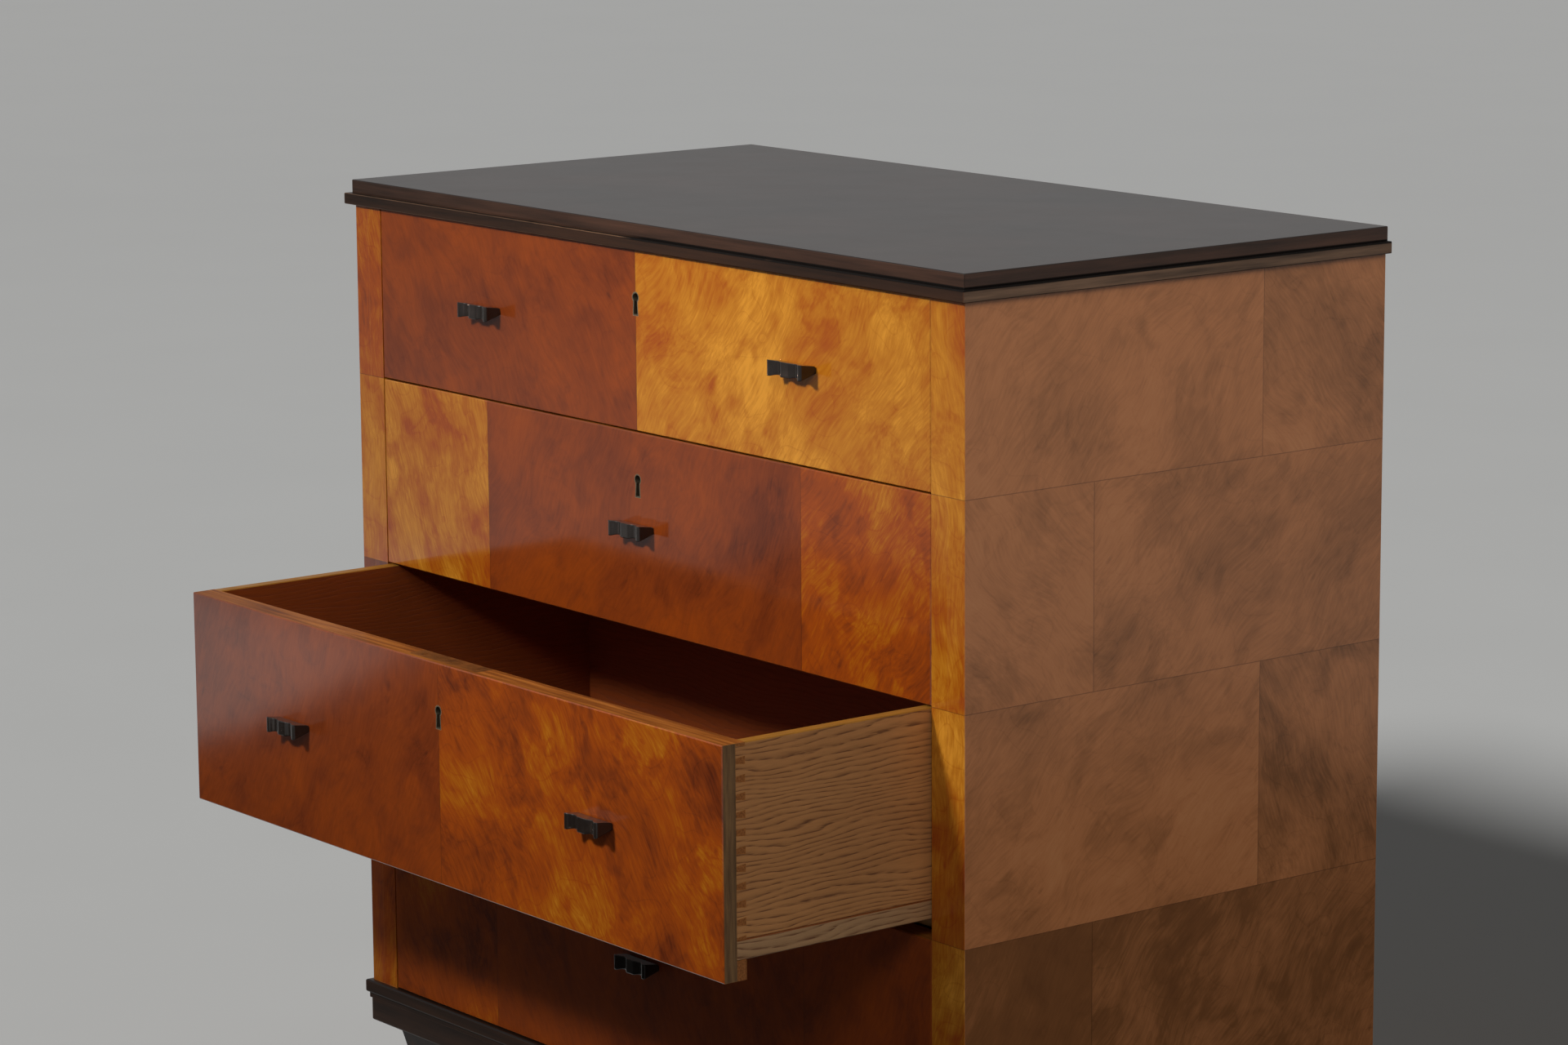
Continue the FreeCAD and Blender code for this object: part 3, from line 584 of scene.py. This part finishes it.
def stile_colour(tree, place, hand):
    """One leaf of veneer on the stile beside each drawer, and its fibre."""
    leaves = zip(FLOOR_UP, STILE_SHADES[hand], STILE_LEANS)
    rows = [(level, ((END, shade, lean),)) for level, shade, lean in leaves]
    return birch_colour(tree, place, "X", (0, 1, 0), rows, BIRCH_STAINS)


def stile_material(hand):
    made, tree = new_material(f"flame_birch_stile_{hand}")
    place = object_place(tree)
    colour, fibre = stile_colour(tree, place, hand)
    lacquer(tree, place, colour, fibre, haze=0.12)
    return made


def side_material(hand):
    """A side in four rows of two leaves; its front edge is part of the stile."""
    made, tree = new_material(f"flame_birch_side_{hand}")
    place = object_place(tree)
    rows = []
    for level, joint, shades, leans in zip(FLOOR_UP, SIDE_JOINTS, SIDE_TONES_AND_SHADE, SIDE_LEANS):
        rows.append((level, tuple(zip((END, joint), shades, leans))))
    colour, fibre = birch_colour(tree, place, "Y", (1, 0, 0), rows, SIDE_STAINS, SIDE_STRENGTH)
    edge = stile_colour(tree, place, hand)[0]
    is_edge = maths(tree, "LESS_THAN", axes(tree, object_normal(tree))["Y"], -WITH_ARRISES)
    colour = mix(tree, is_edge, colour, edge)
    lacquer(tree, place, colour, fibre, haze=0.2)
    return made


for n in DRAWERS:
    dress(f"drawer_{n}_front", front_material(n))
for hand in STILE_SHADES:
    dress(f"stile_{hand}", stile_material(hand))
    dress(f"side_{hand}", side_material(hand))


# Black pieces

black_top = ebonised("ebonised_wood_top", "XY", gloss=0.5, haze=0.18, thin="#54382a")
black_ledge = ebonised("ebonised_wood_ledge", "X", gloss=0.3, haze=0.22, rub=0.8)
black_x = ebonised("ebonised_wood_along_x", "X", gloss=0.3, haze=0.22)
black_y = ebonised("ebonised_wood_along_y", "Y", gloss=0.4, haze=0.18, thin="#8c6c54")
black_z = ebonised("ebonised_wood_along_z", "Z", gloss=0.3, haze=0.18)
black_gloss = ebonised("ebonised_wood_polished", "X", gloss=1.0, haze=0.06, thin="#1c1612", soft_mm=1.2,
                       wear_mm=0.3, wear=1.0, dark_arris=0.0)
dress("top_board", black_top)
dress("top_moulding_front", black_ledge)
dress("base_moulding_front", black_x)
for name in ("top_moulding", "base_moulding"):
    dress(f"{name}_left", black_y)
    dress(f"{name}_right", black_y)
dress("legs", black_z)


# Drawer boxes and metal

rubbed_edge = ((0, 0, 1), RUBBED)
oak_left = oak("oak_side_left", "Y", "Z", SIDE_OAK, (((1, 0, 0), INSIDE_STAIN), rubbed_edge))
oak_right = oak("oak_side_right", "Y", "Z", SIDE_OAK, (((-1, 0, 0), INSIDE_STAIN), rubbed_edge))
oak_back = oak("oak_back", "X", "Z", SIDE_OAK, (((0, -1, 0), INSIDE_STAIN), rubbed_edge))
oak_bottom = oak("oak_bottom", "X", "Y", SIDE_OAK, (((0, 0, 1), INSIDE_STAIN),))
oak_slips = oak("oak_slips", "Y", "Z", SLIP_OAK, (((0, 0, 1), INSIDE_STAIN),))
brass = aged_brass()
bronze = dark_bronze()
for n in DRAWERS:
    dress(f"drawer_{n}_side_left", oak_left)
    dress(f"drawer_{n}_side_right", oak_right)
    dress(f"drawer_{n}_back", oak_back)
    dress(f"drawer_{n}_bottom", oak_bottom)
    dress(f"drawer_{n}_slips", oak_slips)
    dress(f"drawer_{n}_pulls", black_gloss)
    dress(f"drawer_{n}_lock", brass)
    dress(f"drawer_{n}_lock_bolt", brass)
    dress(f"drawer_{n}_escutcheon", bronze)


# Screws: turned, with a countersunk head and a cut slot

# Radii of the heads
PLATE_SCREW = 3.2 * MM
CASE_SCREW = 2.8 * MM
BACK_SCREW = 4.0 * MM
# How far the heads stand out of the wood or the metal
PROUD = 0.2 * MM
# Places on the lock: from the middle of its plate, and from the middle, the foot and the top of its case
PLATE_SPREAD = 38 * MM
CASE_SPREAD, CASE_FOOT, CASE_TOP = 23 * MM, 6 * MM, 12 * MM
# Places along the edges of the back panel
BACK_EDGE = 20 * MM
BACK_COUNT = 5
# Angles at which the screwdriver left the first slot and each one after it, in radians
FIRST_TURN, NEXT_TURN = 0.5, 1.9


def screw_head(radius):
    """One head with its slot along X, its flat face up at zero."""
    depth = radius * 0.7
    neck = radius * 0.55
    slot = (radius * 3, radius * 0.26, radius * 0.6, 1)
    shape = bmesh.new()
    bmesh.ops.create_cone(shape, cap_ends=True, segments=32, radius1=neck, radius2=radius, depth=depth,
                          matrix=Matrix.Translation((0, 0, -depth / 2)))
    head = put("screw_head", mesh_of("screw_head", shape))
    shape = bmesh.new()
    bmesh.ops.create_cube(shape, size=1.0, matrix=Matrix.Diagonal(slot))
    cutter = put("screw_cutter", mesh_of("screw_cutter", shape))
    cut = head.modifiers.new("slot", "BOOLEAN")
    cut.operation = "DIFFERENCE"
    cut.solver = "EXACT"
    cut.object = cutter
    evaluated = head.evaluated_get(bpy.context.evaluated_depsgraph_get())
    slotted = bpy.data.meshes.new_from_object(evaluated)
    for thing in (head, cutter):
        bpy.data.objects.remove(thing)
    return slotted


def screws(name, body, radius, facing, places):
    """A set of brass screws in one mesh, each turned to its own angle."""
    head = screw_head(radius)
    upright = Vector(facing).to_track_quat("Z", "X").to_matrix().to_4x4()
    shape = bmesh.new()
    for i, place in enumerate(places):
        turned = Matrix.Rotation(FIRST_TURN + NEXT_TURN * i, 4, "Z")
        before = len(shape.verts)
        shape.from_mesh(head)
        shape.verts.ensure_lookup_table()
        bmesh.ops.transform(shape, matrix=Matrix.Translation(place) @ upright @ turned,
                            verts=shape.verts[before:])
    mesh = mesh_of(name, shape)
    mesh.materials.append(brass)
    made = put(name, mesh)
    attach(made, body)


def spaced(low, high):
    """Places from one edge of the back panel to the other."""
    step = (high - low - 2 * BACK_EDGE) / (BACK_COUNT - 1)
    return [low + BACK_EDGE + i * step for i in range(BACK_COUNT)]


for n in DRAWERS:
    low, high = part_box(f"drawer_{n}_lock")
    middle = (low.y + high.y) / 2
    plate_places = [(x, middle, high.z + PROUD) for x in (-PLATE_SPREAD, PLATE_SPREAD)]
    case_places = [(x, high.y + PROUD, z) for x in (-CASE_SPREAD, CASE_SPREAD)
                   for z in (low.z + CASE_FOOT, high.z - CASE_TOP)]
    screws(f"drawer_{n}_lock_plate_screws", f"drawer_{n}", PLATE_SCREW, (0, 0, 1), plate_places)
    screws(f"drawer_{n}_lock_case_screws", f"drawer_{n}", CASE_SCREW, (0, 1, 0), case_places)

low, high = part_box("back_panel")
columns = spaced(low.x, high.x)
levels = spaced(low.z, high.z)
back_places = [(x, high.y + PROUD, z) for x in columns for z in (levels[0], levels[-1])]
back_places += [(x, high.y + PROUD, z) for x in (columns[0], columns[-1]) for z in levels[1:-1]]
screws("back_panel_screws", "case", BACK_SCREW, (0, 1, 0), back_places)


# Boards that are out of sight

pine_x = pine("pine_along_x", "X", "Y")
pine_y = pine("pine_along_y", "Y", "X")
pine_z = pine("pine_along_z", "Z", "X")
for name in ("top_rail_back", "base_rail_back", "bottom_board", "drawer_rails"):
    dress(name, pine_x)
for name in ("drawer_runners", "drawer_guides"):
    dress(name, pine_y)
for name in ("back_panel", "corner_blocks"):
    dress(name, pine_z)


# Floor, light and camera

FLOOR_REACH = 40.0
# How high the cloths lie above the floor
CLOTH_LIFT = 2 * MM
BLACK = ("#040404", "#0a0a0a")
WHITE = ("#f0f0ee", "#f6f6f4")
# Outlines of the cloths on the floor, fitted to what the lacquer mirrors
FRONT_CLOTH = ((1.5, -0.5), (-1.95, -0.5), (-2.08, -1.5), (-2.66, -2.48), (1.5, -2.48))
RIGHT_CLOTH = ((0.5, -0.3), (2.2, -0.3), (2.2, 1.7), (0.5, 1.7))
LEFT_CLOTH = ((-2.02, -1.05), (-2.12, -1.55), (-2.34, -1.93), (-3.4, -1.93), (-3.4, -1.05))


def is_looked_at(tree):
    """1 for rays from the camera, from mirrors and through glass, 0 for rays that light things."""
    rays = add(tree, "LightPath").node.outputs
    mirrored = maths(tree, "MAXIMUM", rays["Is Camera Ray"], rays["Is Glossy Ray"])
    return maths(tree, "MAXIMUM", mirrored, rays["Is Transmission Ray"])


def studio_floor():
    """Grey paper, painted a little darker with distance as the light falls off, and painted dark towards
    the front where mirrors see it.
    """
    shape = bmesh.new()
    bmesh.ops.create_grid(shape, x_segments=1, y_segments=1, size=FLOOR_REACH)
    mesh = mesh_of("studio_floor", shape)
    floor = put("studio_floor", mesh)
    made, tree = new_material("matt_grey_paper")
    place = object_place(tree)
    paper = mix(tree, noise(tree, place, 400, detail=2.0), "#b2b2b0", "#b6b6b4")
    far = add(tree, "VectorMath", {0: place}, out="Value", operation="LENGTH")
    # Painted shade: the paper darkens with distance, standing in for light falling off
    painted_falloff = remap(tree, far, (1.5, 8.0), (0.0, 0.5))
    paper = mix(tree, painted_falloff, paper, "#a4a4a3")
    # Painted reflection: seen in mirrors alone, the paper goes dark towards the front of the chest, so that
    # the lower fronts mirror darkness
    lit = remap(tree, axes(tree, place)["Y"], (-4.2, -1.7), (0.2, 1.0))
    mirrored = add(tree, "LightPath", out="Is Glossy Ray")
    paper = mix(tree, mirrored, paper, mix(tree, lit, "#000000", paper))
    # Its pale grey is for the eye and for mirrors; it throws less light back at the wood
    colour = mix(tree, is_looked_at(tree), "#4e4e4d", paper)
    surface(tree, Base_Color=colour, Roughness=0.9, ior=1.45)
    mesh.materials.append(made)
    floor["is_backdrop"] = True
    return floor


def card(name, cloth, tones, corners):
    """A cloth on the floor that shows only in the lacquer, a painted reflection: the camera, the lamps and
    the shadows pass it by.
    """
    mesh = bpy.data.meshes.new(name)
    mesh.from_pydata([(x, y, CLOTH_LIFT) for x, y in corners], [], [range(len(corners))])
    made, tree = new_material(cloth)
    nap = noise(tree, object_place(tree), 30, detail=2.0)
    surface(tree, Base_Color=mix(tree, nap, *tones), Roughness=1.0, Specular_ior_Level=0.0)
    mesh.materials.append(made)
    laid = put(name, mesh)
    for ray in ("camera", "diffuse", "transmission", "volume_scatter", "shadow"):
        setattr(laid, f"visible_{ray}", False)
    laid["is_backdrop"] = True
    return laid


def lamp(name, kind, place, target, energy, **settings):
    data = bpy.data.lights.new(name, kind)
    data.energy = energy
    for key, value in settings.items():
        setattr(data, key, value)
    made = put(name, data)
    made.location = place
    made.rotation_mode = "QUATERNION"
    made.rotation_quaternion = (Vector(target) - Vector(place)).to_track_quat("-Z", "Y")
    made.visible_camera = False
    return made


def disc_lamp(name, place, target, energy, size, glare=True, **settings):
    """A round softbox, so wide in metres; one without glare isn't mirrored."""
    made = lamp(name, "AREA", place, target, energy, shape="DISK", size=size, **settings)
    made.visible_glossy = glare
    return made


def flag(lamp_object, receivers, state):
    """Keeps a lamp to some things, or off them, as flags do in a studio."""
    group = bpy.data.collections.new(f"{lamp_object.name}_receivers")
    for i, receiver in enumerate(receivers):
        group.objects.link(receiver)
        group.collection_objects[i].light_linking.link_state = state
    lamp_object.light_linking.receiver_collection = group


floor = studio_floor()
# Painted reflections: dark cloths in front and to the right, a pale one to the left, seen only in the
# lacquer
card("black_card_front", "black_velvet", BLACK, FRONT_CLOTH)
card("black_card_right", "black_velvet", BLACK, RIGHT_CLOTH)
white = card("white_card_left", "white_cotton", WHITE, LEFT_CLOTH)
ground = (floor, white)
# The lamps beside and behind are polarised, so that they leave no glare on the top
lamps = (
    disc_lamp("key_lamp", (-0.02, -1.85, 1.68), (0.05, -0.2, 0.9), energy=4.7, size=0.2,
              spread=math.radians(80)),
    disc_lamp("side_lamp", (1.3, -0.1, 1.3), (0.425, 0.0, 0.75), energy=2.6, size=0.5, glare=False),
    disc_lamp("right_lamp", (2.2, -1.8, 2.2), (0.4, -0.2, 0.4), energy=17.0, size=1.0),
    disc_lamp("front_lamp", (-0.35, -2.4, 2.1), (-0.2, -0.2, 0.5), energy=9.4, size=0.4),
    disc_lamp("left_lamp", (-3.0, 0.1, 2.6), (-0.4, 0.0, 0.5), energy=45.0, size=2.4, glare=False),
    disc_lamp("back_lamp", (0.8, 3.2, 2.6), (0.0, 0.2, 0.5), energy=50.0, size=2.4, glare=False),
)
for each in lamps:
    flag(each, ground, "EXCLUDE")
# A lamp flagged off everything but the pulls draws the glints on the arrises of their hollows
accent = disc_lamp("accent_lamp", (-0.53, -1.8, 2.54), (0.0, -0.25, 0.7), energy=20.0, size=0.4)
flag(accent, [NODES[f"drawer_{n}_pulls"] for n in DRAWERS], "INCLUDE")
backdrop = lamp("backdrop_lamp", "SUN", (0.66, -1.6, 1.01), (0.0, 0.0, 0.0), energy=4.6,
                angle=math.radians(9))
flag(backdrop, ground, "INCLUDE")
# Keeps the shadow on the floor from going black
bounce = lamp("floor_fill", "SUN", (0.0, 0.0, 2.0), (0.0, 0.0, 0.0), energy=0.2, use_shadow=False)
flag(bounce, ground, "INCLUDE")

world = bpy.data.worlds.new("studio")
bpy.context.scene.world = world
world.use_nodes = True
sky = world.node_tree
sky.nodes.clear()
wall = add(sky, "Background", {"Color": linear("#a6a6a6"), "Strength": 1.0})
fill = add(sky, "Background", {"Color": linear("#ffffff"), "Strength": 0.04})
both = add(sky, "MixShader", {0: is_looked_at(sky), 1: fill, 2: wall})
add(sky, "OutputWorld", {"Surface": both})

# Fitted to twenty corners of the chest in the photograph
CAMERA_PLACE = (3.19151, -2.55471, 1.41234)
YAW, PITCH, ROLL = math.radians(52.097), math.radians(10.5207), math.radians(-0.3984)
camera_data = bpy.data.cameras.new("camera")
camera_data.lens = 109.891
camera_data.sensor_width = 36.0
camera = put("camera", camera_data)
camera.matrix_world = (
    Matrix.Translation(CAMERA_PLACE)
    @ Matrix.Rotation(YAW, 4, "Z")
    @ Matrix.Rotation(math.radians(90) - PITCH, 4, "X")
    @ Matrix.Rotation(ROLL, 4, "Z"))
bpy.context.scene.camera = camera
bpy.context.scene.view_settings.view_transform = "Standard"

low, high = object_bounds()
